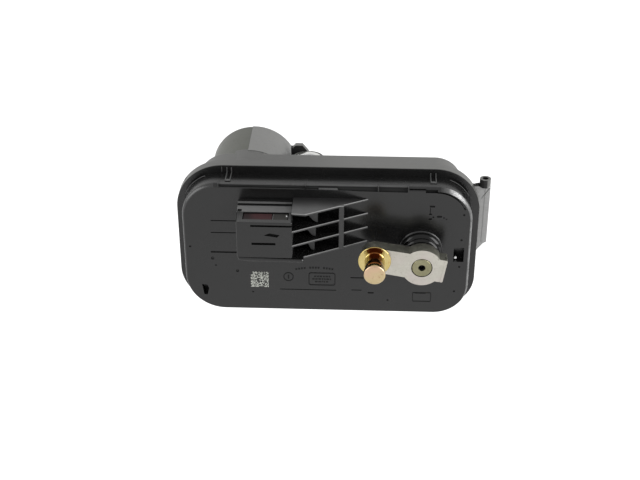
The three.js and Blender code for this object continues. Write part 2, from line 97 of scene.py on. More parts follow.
def make_studio():
    world = bpy.data.worlds.new("studio")
    bpy.context.scene.world = world
    world.use_nodes = True
    background = world.node_tree.nodes["Background"]
    background.inputs["Color"].default_value = (1, 1, 1, 1)
    background.inputs["Strength"].default_value = WORLD_LIGHT
    area_light("right_box", (1.05, -0.45, 0.46), (0.85, 0.85), 19.0)
    area_light("left_box", (-1.05, -0.45, 0.46), (1.2, 1.0), 13.0)
    h, z = FLOOR_HALF, FLOOR_LEVEL
    verts = [(-h, -h, z), (h, -h, z), (h, h, z), (-h, h, z)]
    mesh = bpy.data.meshes.new("floor")
    mesh.from_pydata(verts, [], [(0, 1, 2, 3)])
    floor = bpy.data.objects.new("floor", mesh)
    bpy.context.scene.collection.objects.link(floor)
    mat = bpy.data.materials.new("floor_white")
    mat.use_nodes = True
    p = mat.node_tree.nodes["Principled BSDF"]
    p.inputs["Base Color"].default_value = (FLOOR_TONE, FLOOR_TONE, FLOOR_TONE, 1)
    p.inputs["Roughness"].default_value = 1.0
    p.inputs["Specular IOR Level"].default_value = 0.0
    floor.data.materials.append(mat)


make_camera()
make_studio()
bpy.context.scene.view_settings.view_transform = "Standard"

# ---------------------------------------------------------------- mesh helpers

RIM_STEPS = 16          # steps round each corner of a rim
WELD = 0.002            # vertices closer than this are merged before a bevel
SAME_PLANE = 0.4        # degrees between faces that count as one flat area
# corners of a rounded rectangle: sides in x and z, angle at which the corner starts
CORNERS = ((1, 1, 0), (-1, 1, 90), (-1, -1, 180), (1, -1, 270))


def obj_from(name, verts, faces):
    mesh = bpy.data.meshes.new(name)
    mesh.from_pydata([tuple(v) for v in verts], [], faces)
    bm = bmesh.new()
    bm.from_mesh(mesh)
    bmesh.ops.recalc_face_normals(bm, faces=bm.faces)
    bm.to_mesh(mesh)
    bm.free()
    ob = bpy.data.objects.new(name, mesh)
    bpy.context.scene.collection.objects.link(ob)
    return ob


def loft(name, rings, closed=False):
    """Closed skin through equal rings of points. closed joins the last ring to the first."""
    n = len(rings[0])
    verts = [p for row in rings for p in row]
    faces = []
    last = len(rings) if closed else len(rings) - 1
    for i in range(last):
        a, b = i * n, ((i + 1) % len(rings)) * n
        for k in range(n):
            faces.append((a + k, a + (k + 1) % n, b + (k + 1) % n, b + k))
    if not closed:
        faces.append(tuple(range(n)))
        faces.append(tuple((len(rings) - 1) * n + k for k in range(n)))
    return obj_from(name, verts, faces)


def round_rect(w, h, r, n, cx=0.0, cz=0.0):
    pts = []
    for sx, sz, a0 in CORNERS:
        for i in range(n + 1):
            a = math.radians(a0 + 90 * i / n)
            pts.append((cx + sx * (w / 2 - r) + r * math.cos(a), cz + sz * (h / 2 - r) + r * math.sin(a)))
    return pts


def rim(w, h, radii, cz=0.0):
    """Points and outward normals of a rounded rectangle whose corners have their own radii."""
    pts = []
    for (sx, sz, a0), r in zip(CORNERS, radii):
        for i in range(RIM_STEPS + 1):
            a = math.radians(a0 + 90 * i / RIM_STEPS)
            c, s = math.cos(a), math.sin(a)
            pts.append((sx * (w / 2 - r) + r * c, cz + sz * (h / 2 - r) + r * s, c, s))
    return pts


def ring(edge, out, y):
    """A rim moved outwards by out, at depth y."""
    return [(x + out * c, y, z + out * s) for x, z, c, s in edge]


def prism(name, outline, y0, y1):
    """An X-Z outline carried from y0 to y1."""
    return loft(name, [[(x, y, z) for x, z in outline] for y in (y0, y1)])


def plate_z(name, outline, z0, z1):
    """An X-Y outline carried from z0 to z1."""
    return loft(name, [[(x, y, z) for x, y in outline] for z in (z0, z1)])


def block(name, x0, x1, y0, y1, z0, z1):
    return prism(name, [(x0, z0), (x1, z0), (x1, z1), (x0, z1)], y0, y1)


def turned(name, profile, cx, cz, seg=64):
    """A (radius, y) profile turned about an axis along Y through (cx, cz).

    A profile that doesn't start on the axis closes on itself."""
    verts, faces = [], []
    n = len(profile)
    on_axis = profile[0][0] == 0
    for k in range(seg):
        a = 2 * math.pi * k / seg
        verts += [(cx + r * math.cos(a), y, cz + r * math.sin(a)) for r, y in profile]
    for k in range(seg):
        a, b = k * n, ((k + 1) % seg) * n
        for i in range(n - 1 if on_axis else n):
            j = (i + 1) % n
            faces.append((a + i, a + j, b + j, b + i))
    ob = obj_from(name, verts, faces)
    bm = bmesh.new()
    bm.from_mesh(ob.data)
    bmesh.ops.remove_doubles(bm, verts=bm.verts, dist=1e-4)
    bmesh.ops.recalc_face_normals(bm, faces=bm.faces)
    bm.to_mesh(ob.data)
    bm.free()
    return ob


def stand(ob, x, y):
    """Turns a part made about the Y axis upright, onto an axis along Z through (x, y)."""
    ob.data.transform(Matrix.Translation((x, y, 0)) @ Matrix.Rotation(math.radians(90), 4, "X"))
    return ob


def rod(name, x, z, r, y0, y1, seg=48):
    """A round rod along Y."""
    return turned(name, [(0, y0), (r, y0), (r, y1), (0, y1)], x, z, seg)


def post(name, x, y, r, z0, z1, seg=48, r1=None):
    """A round post along Z, of radius r1 at the top where one is given."""
    profile = [(0, z0), (r, z0), (r if r1 is None else r1, z1), (0, z1)]
    return stand(turned(name, profile, 0, 0, seg), x, y)


def settle(ob):
    """Applies every modifier."""
    bpy.context.view_layer.update()
    graph = bpy.context.evaluated_depsgraph_get()
    mesh = bpy.data.meshes.new_from_object(ob.evaluated_get(graph))
    old = ob.data
    ob.modifiers.clear()
    ob.data = mesh
    bpy.data.meshes.remove(old)
    return ob


def combine(base, tools, operation):
    for tool in tools:
        m = base.modifiers.new("b", "BOOLEAN")
        m.operation = operation
        m.solver = "MANIFOLD"
        m.object = tool
    settle(base)
    for tool in tools:
        bpy.data.objects.remove(tool)
    return base


def union(base, *tools):
    return combine(base, tools, "UNION")


def cut(base, *tools):
    return combine(base, tools, "DIFFERENCE")


def weld(ob):
    bm = bmesh.new()
    bm.from_mesh(ob.data)
    bmesh.ops.remove_doubles(bm, verts=bm.verts, dist=WELD)
    bmesh.ops.dissolve_degenerate(bm, dist=WELD, edges=bm.edges)
    bm.to_mesh(ob.data)
    bm.free()


def bevel(ob, width, segments=2, angle=32):
    weld(ob)
    m = ob.modifiers.new("v", "BEVEL")
    m.width = width
    m.segments = segments
    m.limit_method = "ANGLE"
    m.angle_limit = math.radians(angle)
    m.use_clamp_overlap = True
    m.miter_outer = "MITER_ARC"
    return settle(ob)


def head(links, i):
    """The member that i's group is known by. The links are shortened on the way."""
    while links[i] != i:
        links[i] = links[links[i]]
        i = links[i]
    return i


def smooth(ob, angle):
    """Smooth shading in which large flat areas keep their own normal right up to their edges."""
    mesh = ob.data
    mesh.shade_smooth()
    mesh.set_sharp_from_angle(angle=math.radians(angle))
    count = len(mesh.polygons)
    normals = np.zeros(count * 3)
    areas = np.zeros(count)
    mesh.polygons.foreach_get("normal", normals)
    mesh.polygons.foreach_get("area", areas)
    normals = normals.reshape(-1, 3)
    by_edge = {}
    for p in mesh.polygons:
        for key in p.edge_keys:
            by_edge.setdefault(key, []).append(p.index)
    group = list(range(count))
    soft, flat = math.cos(math.radians(angle)), math.cos(math.radians(SAME_PLANE))
    joined = {}
    for key, faces in by_edge.items():
        if len(faces) == 2:
            c = float(normals[faces[0]] @ normals[faces[1]])
            if c > flat:
                group[head(group, faces[0])] = head(group, faces[1])
            if c > soft:
                for v in key:
                    joined.setdefault(v, []).append(faces)
    group = [head(group, i) for i in range(count)]
    total = {}
    for i, r in enumerate(group):
        total[r] = total.get(r, 0.0) + areas[i]
    weight = [total[r] ** 2 for r in group]
    corner = [None] * len(mesh.loops)
    at_vertex = {}
    for p in mesh.polygons:
        for li in p.loop_indices:
            at_vertex.setdefault(mesh.loops[li].vertex_index, []).append((p.index, li))
    for v, uses in at_vertex.items():
        fan = {use[0]: use[0] for use in uses}
        for a, b in joined.get(v, ()):
            fan[head(fan, a)] = head(fan, b)
        sums = {}
        for i in fan:
            r = head(fan, i)
            sums[r] = sums.get(r, 0) + normals[i] * weight[i]
        for i, li in uses:
            n = sums[head(fan, i)]
            length = float(np.linalg.norm(n))
            corner[li] = tuple(n / length) if length > 0 else tuple(normals[i])
    mesh.normals_split_custom_set(corner)


def piece(ob, name, body, material, nodes=(), angle=35, zones=()):
    """Finishes a piece: shading, place, material, body and the CAD nodes it stands for.

    zones are (material, test) pairs. A face takes the last zone whose test(centre, normal) holds,
    in millimetres of the case frame."""
    ob.data.materials.clear()
    ob.data.materials.append(material)
    for p in ob.data.polygons:
        p.material_index = 0
    for k, (finish, test) in enumerate(zones):
        ob.data.materials.append(finish)
        for p in ob.data.polygons:
            if test(p.center, p.normal):
                p.material_index = k + 1
    ob.data.transform(TO_ROW)
    smooth(ob, angle)
    ob.name = name
    ob.data.name = name
    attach(ob, body)
    if nodes:
        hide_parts(*nodes)


def near(c, xa, xb, za, zb):
    """Whether a face's centre is inside an X-Z rectangle."""
    return xa < c.x < xb and za < c.z < zb


def off(c, axis):
    """Distance of a face's centre from an axis along Y."""
    return math.hypot(c.x - axis[0], c.z - axis[1])


def off_corner(c):
    """Distance of a face's centre from the centre of the cover's top corner on its side."""
    return math.hypot(abs(c.x) - CORNER[0], c.z - CORNER[1])


def wave(t):
    """Sine and cosine of t degrees."""
    return math.sin(math.radians(t)), math.cos(math.radians(t))


def arc(cx, cy, r, a0, a1, n):
    return [(cx + r * math.cos(math.radians(a0 + (a1 - a0) * i / n)),
             cy + r * math.sin(math.radians(a0 + (a1 - a0) * i / n))) for i in range(n + 1)]


# ---------------------------------------------------------------- materials


class Nodes:
    """A small wrapper that adds shader nodes to one material."""

    def __init__(self, name):
        self.mat = bpy.data.materials.new(name)
        self.mat.use_nodes = True
        self.tree = self.mat.node_tree
        self.bsdf = self.tree.nodes["Principled BSDF"]
        self.coord = self.tree.nodes.new("ShaderNodeTexCoord").outputs["Object"]

    def set(self, **values):
        for key, value in values.items():
            self.bsdf.inputs[key.replace("_", " ")].default_value = value

    def link(self, a, b):
        self.tree.links.new(a, b)

    def stretch(self, scale):
        m = self.tree.nodes.new("ShaderNodeMapping")
        m.inputs["Scale"].default_value = scale
        self.link(self.coord, m.inputs["Vector"])
        return m.outputs["Vector"]

    def noise(self, scale, detail=3.0, rough=0.5, vector=None, distortion=0.0):
        t = self.tree.nodes.new("ShaderNodeTexNoise")
        t.inputs["Scale"].default_value = scale
        t.inputs["Detail"].default_value = detail
        t.inputs["Roughness"].default_value = rough
        t.inputs["Distortion"].default_value = distortion
        self.link(vector or self.coord, t.inputs["Vector"])
        return t.outputs["Fac"]

    def ramp(self, fac, stops):
        r = self.tree.nodes.new("ShaderNodeValToRGB")
        e = r.color_ramp.elements
        while len(e) < len(stops):
            e.new(0.5)
        for el, (at, colour) in zip(e, stops):
            el.position = at
            el.color = (*colour, 1)
        self.link(fac, r.inputs["Fac"])
        return r.outputs["Color"]

    def span(self, fac, lo, hi, a=0.0, b=1.0):
        """Carries the range a to b over to lo to hi."""
        m = self.tree.nodes.new("ShaderNodeMapRange")
        m.inputs["From Min"].default_value = a
        m.inputs["From Max"].default_value = b
        m.inputs["To Min"].default_value = lo
        m.inputs["To Max"].default_value = hi
        self.link(fac, m.inputs["Value"])
        return m.outputs["Result"]

    def math(self, op, a, b):
        m = self.tree.nodes.new("ShaderNodeMath")
        m.operation = op
        for value, socket in ((a, m.inputs[0]), (b, m.inputs[1])):
            if isinstance(value, (int, float)):
                socket.default_value = value
            else:
                self.link(value, socket)
        return m.outputs[0]

    def mix(self, fac, a, b):
        m = self.tree.nodes.new("ShaderNodeMix")
        m.data_type = "RGBA"
        self.link(fac, m.inputs[0])
        for value, socket in ((a, m.inputs[6]), (b, m.inputs[7])):
            if isinstance(value, tuple):
                socket.default_value = (*value, 1)
            else:
                self.link(value, socket)
        return m.outputs[2]

    def bump(self, height, strength, distance):
        """A bump on top of the ones already linked."""
        b = self.tree.nodes.new("ShaderNodeBump")
        b.inputs["Strength"].default_value = strength
        b.inputs["Distance"].default_value = distance
        self.link(height, b.inputs["Height"])
        if self.bsdf.inputs["Normal"].is_linked:
            self.link(self.bsdf.inputs["Normal"].links[0].from_socket, b.inputs["Normal"])
        self.link(b.outputs["Normal"], self.bsdf.inputs["Normal"])


def plastic(name, dark, light, rough, grain=1.0, tint=(1, 1, 1), specular=0.5, fade=None):
    """Glass-filled moulded nylon: fine mottled grain, faint flow marks, scuffs.

    fade is (axis, [(millimetres, amount), ...], dark, light): this second pair of tones shows where
    amount is 1."""
    n = Nodes(name)
    flow = n.noise(55, 4, 0.6, n.stretch((0.5, 1, 1.2)), 0.4)
    fine = n.noise(2600, 3, 0.6)
    fibres = n.noise(900, 2, 0.6, n.stretch((0.35, 1, 1.6)))
    tone = n.math("ADD", n.math("MULTIPLY", flow, 0.55), n.math("MULTIPLY", fibres, 0.45))

    def tones(lo, hi):
        return n.ramp(tone, [(0.32, tuple(lo * t for t in tint)), (0.7, tuple(hi * t for t in tint))])
    col = tones(dark, light)
    if fade:
        axis, stops, dark2, light2 = fade
        split = n.tree.nodes.new("ShaderNodeSeparateXYZ")
        n.link(n.coord, split.inputs[0])
        lo, hi = stops[0][0], stops[-1][0]
        along = n.span(split.outputs[axis], 0, 1, (lo - SEAT[axis]) / 1000, (hi - SEAT[axis]) / 1000)
        mask = n.ramp(along, [((at - lo) / (hi - lo), (v, v, v)) for at, v in stops])
        col = n.mix(mask, col, tones(dark2, light2))
    n.link(col, n.bsdf.inputs["Base Color"])
    scuffs = n.noise(240, 6, 0.75, n.stretch((1, 1, 0.35)), 1.0)
    r = n.math("ADD", n.span(flow, rough - 0.05, rough + 0.06, 0.3, 0.7),
               n.span(scuffs, 0, 0.1, 0.58, 0.75))
    n.link(n.math("ADD", r, n.span(fine, -0.02, 0.03, 0.3, 0.7)), n.bsdf.inputs["Roughness"])
    n.set(Specular_IOR_Level=specular)
    n.bump(fine, 0.25 * grain, 0.00004)
    n.bump(fibres, 0.12 * grain, 0.00006)
    n.bump(n.noise(28, 2, 0.5), 0.25 * grain, 0.00025)
    return n.mat


def metal(name, base, light, rough, brush=(1, 1, 1), brush_amount=0.3, spots=None, drift=None):
    """Turned or stamped metal: tool marks along one direction, mottled plating, small spots and a
    slow drift to another tint."""
    n = Nodes(name)
    cloud = n.noise(160, 5, 0.65, None, 0.3)
    fine = n.noise(1500, 3, 0.6)
    tone = n.math("ADD", n.math("MULTIPLY", cloud, 0.6), n.math("MULTIPLY", fine, 0.4))
    col = n.ramp(tone, [(0.35, base), (0.65, light)])
    if drift:
        col = n.mix(n.span(n.noise(70, 2, 0.5, None, 0.6), 0, 0.8, 0.4, 0.62), col, drift)
    if spots:
        dots = n.span(n.noise(700, 2, 0.5), 0, 1, 0.66, 0.74)
        col = n.mix(dots, col, spots)
    n.link(col, n.bsdf.inputs["Base Color"])
    n.set(Metallic=1.0)
    streak = n.noise(900, 3, 0.6, n.stretch(brush))
    n.link(n.math("ADD", n.span(streak, rough - 0.06, rough + 0.08, 0.3, 0.7),
                  n.span(cloud, -0.03, 0.05, 0.3, 0.7)), n.bsdf.inputs["Roughness"])
    n.bump(streak, brush_amount, 0.00002)
    n.bump(fine, 0.25, 0.00002)
    return n.mat


# cover
M_COVER = plastic("cover_black", 0.002, 0.004, 0.22, grain=0.6, specular=0.37)
# scuffed front fillet with a painted highlight: light tones round the top right corner and faintly down the
# right side
M_SCUFF_AND_HIGHLIGHT = plastic("cover_scuffs_and_painted_highlight", 0.003, 0.005, 0.26, specular=0.52, fade=(0, [
    (50, 0), (53, 0.1), (55, 0.7), (57, 1), (59, 0.8), (60.6, 0.2), (62.3, 0.1), (64, 0.18)], 0.06, 0.75))
# painted highlight on the rounded brim above the rebate along the top edge
M_BRIM_HIGHLIGHT = plastic("cover_brim_painted_highlight", 0.016, 0.026, 0.3)
# painted highlight on the snap tabs, the corner beads and a stiffener in the rebate
M_TAB_HIGHLIGHT = plastic("cover_tab_painted_highlight", 0.026, 0.04, 0.4)
# top of the connector shroud: painted light in two bands across it
M_SHROUD_TOP_LIT = plastic("cover_shroud_top_painted_light", 0.005, 0.008, 0.34, fade=(1, [
    (-18.5, 0), (-9.5, 0), (-9.2, 1), (-4.1, 1), (-3.8, 0), (-1.9, 0), (-1.75, 0.8), (0, 0.8)], 0.07, 0.1))
# painted highlight on edges that face up and forward
M_EDGE_HIGHLIGHT = plastic("cover_edge_painted_highlight", 0.09, 0.13, 0.42)
# top of the upper rib: painted light towards its front, painted shade near the plate
M_RIB_TOP_LIT_AND_SHADED = plastic("cover_rib_top_painted_light_and_shade", 0.006, 0.009, 0.34, fade=(1, [
    (-15, 1), (-10, 0.85), (-5, 0.3), (-1.5, 0), (0, 0)], 0.026, 0.038))
# lighter tone in the cells between the ribs: painted light against their shade
M_CELL_FILL_LIGHT = plastic("cover_cell_painted_fill_light", 0.014, 0.024, 0.5, specular=0.3)
# dull finish of the moulded marks, also used as painted shade on the floors of the tool lines and of the
# rebate
M_MARK_AND_SHADE = plastic("cover_mark_and_painted_shade", 0.004, 0.006, 0.5, specular=0.12)
# housing
M_CASE = plastic("case_black", 0.05, 0.064, 0.36, tint=(1.0, 1.0, 0.94))
# roof tones for the tops of the case and of the cover's flange: painted light on the black cover, painted
# shade across the left part, deepest near x = -20
M_ROOF_LIT_AND_SHADED = plastic("case_roof_painted_light_and_shade", 0.05, 0.064, 0.36, tint=(1.0, 1.0, 0.94), fade=(0, [
    (-68, 0.3), (-46, 0.5), (-38, 0.9), (-20, 1), (-9, 0.7), (3, 0.2), (12, 0), (72, 0)], 0.026, 0.036))
# left half of the motor barrel: a darker olive tone as painted shade
M_BARREL_SHADED = plastic("case_olive_painted_shade", 0.03, 0.038, 0.4, tint=(1.0, 1.05, 0.8), specular=0.42)
# right half of the motor barrel: a lighter tone as painted light
M_BARREL_LIT = plastic("case_pale_painted_light", 0.078, 0.096, 0.38, tint=(1.0, 1.0, 0.96))
# side ear, in a much lighter tone than the rest of the case
M_LUG = plastic("case_ear_lighter_tone", 0.16, 0.21, 0.45, tint=(1.0, 1.0, 0.99))
# seal, lever, shaft and pin
M_SEAL = plastic("seal_rubber", 0.002, 0.003, 0.08, grain=0.1, specular=0.2)
M_LEVER = metal("lever_steel", (0.32, 0.308, 0.272), (0.395, 0.382, 0.34), 0.4, (0.15, 1, 1), 0.35,
                (0.27, 0.26, 0.23), (0.36, 0.325, 0.305))
M_LEVER_EDGE = metal("lever_sheared", (0.2, 0.2, 0.17), (0.36, 0.355, 0.3), 0.38, (3, 1, 0.2), 0.6,
                     (0.07, 0.07, 0.06))
M_SHAFT = metal("shaft_steel", (0.15, 0.142, 0.085), (0.215, 0.203, 0.13), 0.34, (1, 0.1, 1), 0.3,
                (0.12, 0.11, 0.06))
M_PIN = metal("pin_zinc", (0.34, 0.26, 0.09), (0.45, 0.37, 0.17), 0.12, (1, 0.06, 1), 0.15,
              (0.35, 0.22, 0.08))
# painted dark reflection on the pin's shank and flange, and painted shade in its neck
M_PIN_REFLECTION_AND_SHADE = metal("pin_zinc_painted_reflection_and_shade", (0.10, 0.028, 0.008), (0.2, 0.075, 0.02), 0.12, (1, 0.06, 1), 0.15,
                   (0.05, 0.02, 0.01))
M_PIN_FACE = metal("pin_zinc_end", (0.36, 0.285, 0.16), (0.42, 0.34, 0.215), 0.34,
                   spots=(0.3, 0.2, 0.12), drift=(0.42, 0.29, 0.2))
# small parts and parts inside
M_STEEL = metal("bright_steel", (0.55, 0.55, 0.53), (0.68, 0.68, 0.66), 0.25, (1, 1, 0.1), 0.2)
# light bore of the mounting sleeves, also used as a painted glint on a small post in the connector
M_BORE_AND_GLINT = plastic("sleeve_bore_and_painted_glint", 0.42, 0.55, 0.4)
M_BRONZE = metal("bronze", (0.42, 0.27, 0.10), (0.52, 0.36, 0.16), 0.38, spots=(0.3, 0.18, 0.08))
M_COPPER = metal("copper", (0.45, 0.17, 0.07), (0.6, 0.27, 0.12), 0.32, (1, 0.15, 1), 0.4)
M_LAMINATED = metal("laminations", (0.2, 0.2, 0.21), (0.33, 0.33, 0.34), 0.4, (0.05, 6, 0.05), 0.8)
M_GEAR = plastic("acetal", 0.42, 0.52, 0.34, grain=0.6, tint=(1, 0.93, 0.74))
# dark moulding of the inner parts, also used as painted shade in holes, gaps and hollows, on the gusset and on
# the vent's sides
M_DARK_AND_SHADE = plastic("dark_moulding_and_painted_shade", 0.006, 0.01, 0.5, specular=0.2)
M_CARRIER = plastic("carrier_red_brown", 0.013, 0.028, 0.42, tint=(1.0, 0.22, 0.27), specular=0.2,
                    fade=(0, [(-35.4, 1), (-33.2, 0.95), (-30.6, 0), (-23, 0)], 0.004, 0.006))
M_GREY = plastic("grey_brown", 0.01, 0.016, 0.42, tint=(1.0, 0.93, 0.84), specular=0.2)
M_MAGNET = plastic("ferrite", 0.02, 0.035, 0.5, grain=1.4)
M_BOARD = plastic("solder_mask", 0.02, 0.035, 0.3, grain=0.4, tint=(0.35, 1.6, 0.7))
M_MEMBRANE = plastic("vent_white", 0.7, 0.8, 0.6, grain=0.6)
M_BEAD = plastic("bead_black", 0.01, 0.015, 0.5)
M_CODE = plastic("laser_grey", 0.2, 0.3, 0.6, grain=0.8, tint=(0.97, 1.0, 0.9))

# ---------------------------------------------------------------- cover

COVE_R, COVE_TOP = 1.2, 31.45       # foot of the rebate along the top edge
BRIM_R, BRIM_Z = 0.6, 31.5          # rounded brim above it
REBATE_TOP = 34
FILLET, FILLET_LEAST = 1.1, 0.55    # front edge of the cover: at the sides, at the bottom
FILLET_UP, FILLET_DOWN = 0.8, 0.92  # how much it grows to the top and shrinks to the bottom
RIB_HALF, RIB_FOOT = 0.5, 18.3      # half thickness of the ribs, x where they meet the plate
RIB_SLOPE = 0.583
TAB_RIB = 0.45                      # thickness of the thin ribs of a snap tab


def trough(sections):
    """Tool for the rebate along the top edge, through (x, floor z, depth) sections."""
    rings = []
    quarter = [wave(t) for t in range(0, 91, 15)]
    for x, z0, d in sections:
        c = min(COVE_R, COVE_TOP - z0)
        pts = [(-1, z0)]
        pts += [(d - c + c * u, z0 + c - c * v) for u, v in quarter]
        pts += [(d + BRIM_R - BRIM_R * v, BRIM_Z + BRIM_R * u) for u, v in quarter]
        pts += [(d + BRIM_R, REBATE_TOP), (-1, REBATE_TOP)]
        rings.append([(x, y, z) for y, z in pts])
    return loft("c", rings)


def cover_skin():
    """Plate, wall and flange as one hollow skin, with a front edge that is rounder at the top."""
    wall = rim(*WALL, cz=-0.15)
    flange = rim(*FLANGE)
    rings = []
    for t in range(0, 91, 10):
        u, v = wave(t)
        front = []
        for x, z, c, s in wall:
            f = FILLET + FILLET_UP * s if s > 0 else max(FILLET_LEAST, FILLET + FILLET_DOWN * s)
            front.append((x - f * (1 - u) * c, f * (1 - v), z - f * (1 - u) * s))
        rings.append(front)
    rings += [ring(edge, out, y) for edge, out, y in (
        (wall, 0.12, 11.0), (flange, -0.35, 11.0), (flange, -0.1, 11.08), (flange, 0, 11.35),
        (flange, 0, 13.2), (wall, -2.2, 13.2), (wall, -2.4, 13.0), (wall, -2.4, 2.6))]
    return loft("cover", rings)


def make_cover():
    cover = cover_skin()
    # connector shroud
    x0, x1, y0, z0, z1 = -38.1, -14.2, -18.5, 6.2, 24.0
    adds = [bevel(plate_z("a", [(x0, y0), (x1, y0), (x1, 1.0), (x0 - 1.05, 1.0)], z0, z1), 0.5, 3)]
    # shelf below the shroud's face, running into the lowest rib
    shelf = [(x0 + 0.5, 5.1), (x0 + 6, 4.7), (x1, 4.55), (-9.4, 4.4), (-9.4, 6.0), (x0 + 0.5, 6.6)]
    adds.append(bevel(prism("a", shelf, -18.9, -12), 0.5, 3))
    # ribs
    for i, z in enumerate((25.85, 19.0, 12.05, 5.0)):
        end = [(-8.8, -15.1), (x1 - 0.6, -14.6)] if i == 0 else [(x1 - 0.6, y0 + 0.05)]
        out = [(RIB_FOOT, 0.9), (RIB_FOOT, -0.02)] + end + [(x1 - 0.6, 0.9)]
        adds.append(bevel(plate_z("a", out, z - RIB_HALF, z + RIB_HALF), 0.28, 2))
    # cross rib, just proud of the slope of the others
    adds.append(bevel(block("a", 5.5, 7.7, -RIB_SLOPE * 11.7 - 0.15, 0.9, 4.6, 26.3), 0.3, 2))
    # tapered webs in the inner cells
    for web in ([(-9.9, 25.4), (-3.6, 25.4), (-3.6, 19.6), (-5.2, 20.4), (-7.2, 22.6)],
                [(-11.2, 18.6), (-4.5, 18.6), (-4.5, 12.7), (-6.0, 13.3), (-7.8, 15.6)],
                [(-10.4, 11.6), (-5.0, 11.6), (-5.0, 5.6), (-6.5, 6.2), (-7.6, 8.6)]):
        adds.append(bevel(prism("a", web, -10.0, 0.9), 0.2, 2))
    # collar round the shaft seal, inside and out
    collar = [(0, -0.6), (8.9, -0.6), (9.5, -0.3), (9.9, 0.3), (10.4, 0.6), (10.4, 6.4), (0, 6.4)]
    adds.append(turned("a", collar, *SHAFT, 72))
    # backs of the vent pocket and of the latch slot
    adds.append(block("a", 54.8, 62.6, 1.5, 6.9, -6.0, 3.6))
    adds.append(block("a", -58.6, -52.8, 1.5, 5.8, -27.6, -18.4))
    # snap tabs: two thin ribs and a pad on the top wall, turned up in front of the flange
    for xa, xb, ya, top in ((-44.75, -42.3, 3.0, 34.9), (45.1, 47.85, 4.3, 33.9)):
        for x in (xa, xb - TAB_RIB):
            adds.append(bevel(block("a", x, x + TAB_RIB, ya + 0.3, 11.2, 31.4, 32.8), 0.15, 2))
            adds.append(bevel(block("a", x, x + TAB_RIB, 10.5, 11.3, 31.4, top), 0.15, 2))
        adds.append(bevel(block("a", xa + 0.1, xb - 0.1, ya, ya + 1.5, 31.4, 32.6), 0.25, 2))
    adds.append(bevel(block("a", -46.95, -46.7, 10.7, 11.3, 32.6, 35.2), 0.08, 2))
    # bead at the foot of the wall, round the two top corners
    cx, cz = CORNER
    for x, lo, hi in ((cx, 28, 70), (-cx, 112, 158)):
        outline = arc(x, cz, 16.65, lo, hi, 14) + arc(x, cz, 15.8, hi, lo, 14)
        adds.append(bevel(prism("a", outline, 8.9, 9.4), 0.15, 2))
    union(cover, *adds)
    cuts = [
        # connector mouth and window for the lock slide
        block("c", x0 - 1, x1 - 7.5, y0 + 1.8, -1.2, z0 + 1.9, z1 - 1.9),
        block("c", -35.6, -15.9, -15.9, -9.9, z1 - 1.3, z1 + 2),
        # grooves across the top of the shroud
        block("c", x0 - 0.3, x1 - 0.9, -3.7, -2.1, z1 - 0.55, z1 + 1),
        block("c", x0 - 0.2, x0 + 1.6, -9.4, -7.1, z1 - 0.9, z1 + 1),
        # reliefs on the face of the shroud
        block("c", -31.9, x1 + 0.2, y0 - 1, y0 + 1.3, 21.75, 22.65),
        block("c", -31.6, -21.3, y0 - 1, y0 + 1.3, 12.85, 13.95),
        # seal seat and bush bore
        rod("c", *SHAFT, 7.75, -2, 2.6, 64), rod("c", *SHAFT, 6.65, 2, 7, 64),
        # vent pocket and latch slot
        block("c", 56.7, 61.3, -1, 5.3, -4.8, 2.5),
        prism("c", [(-56.9, -19.6), (-54.5, -19.8), (-53.7, -21.6), (-54.5, -25.2), (-56.0, -25.0)], -1, 4),
        # rebate along the top edge, deeper to the right, then a groove round the right corner
        trough([(-47.0, 30.9, 1.3), (-11.6, 30.8, 1.4), (5.7, 30.4, 1.5), (14.4, 30.0, 1.6),
                (35.2, 29.8, 1.6)]),
        block("c", 35.8, 43.2, -1, 1.2, 30.95, 31.5),
        block("c", 43.0, 48.2, -1, 1.1, 29.8, 31.25),
        prism("c", arc(cx, cz, 14.25, 90, 26, 14) + arc(cx, cz, 13.55, 26, 90, 14), -1, 0.9)]
    # thin tool lines on the plate: left end, right end, z, thickness
    for a, b, z, t in (
            (-51.4, -39.2, 13.95, 0.45), (-51.6, -39.2, 7.85, 0.45), (-52.0, -39.3, -2.25, 0.8),
            (-21.2, 4.4, -21.35, 0.4), (10.9, 16.8, -14.4, 0.5), (11.5, 16.0, -21.0, 0.4),
            (40.2, 45.2, -21.9, 0.45), (18.9, 21.6, -22.3, 0.7), (45.0, 47.3, 23.2, 0.9),
            (45.2, 45.5, 21.0, 2.8), (44.9, 46.1, 19.3, 0.7), (44.8, 46.2, 16.9, 0.8),
            (46.5, 47.2, 17.9, 0.6), (48.4, 50.6, 18.2, 0.9), (51.2, 51.8, 17.6, 0.6)):
        cuts.append(block("c", a, b, -1, 0.4, z - t / 2, z + t / 2))
    # dimples: x, z, radius
    for x, z, r in (
            (-51.35, -5.6, 0.75), (-50.0, -9.2, 0.4), (-40.3, -12.0, 0.7), (-61.2, 0.4, 0.5),
            (60.5, 22.4, 0.7), (60.2, 19.2, 0.5), (52.6, 17.0, 0.35), (59.8, 6.5, 0.5),
            (59.6, -7.4, 0.5), (-33.5, -23.0, 0.45), (28.0, -26.0, 0.45), (58.0, -20.5, 0.5)):
        cuts.append(turned("c", [(0, -1), (r, -1), (r, 0.25), (r * 0.5, 0.5), (0, 0.55)], x, z, 20))
    cut(cover, *cuts)
    # small stiffeners left standing in the rebate
    more = [bevel(block("a", -3.6, 4.8, -0.2, 2.6, 30.35, 31.2), 0.25, 2)]
    for x, lo in ((-47.4, 30.3), (22.4, 30.0), (35.5, 29.4), (-9.3, 30.4)):
        more.append(bevel(block("a", x - 0.3, x + 0.3, -0.12, 3.6, lo, 32.3), 0.2, 2))
    union(cover, *more)
    bevel(cover, 0.18, 2, 40)
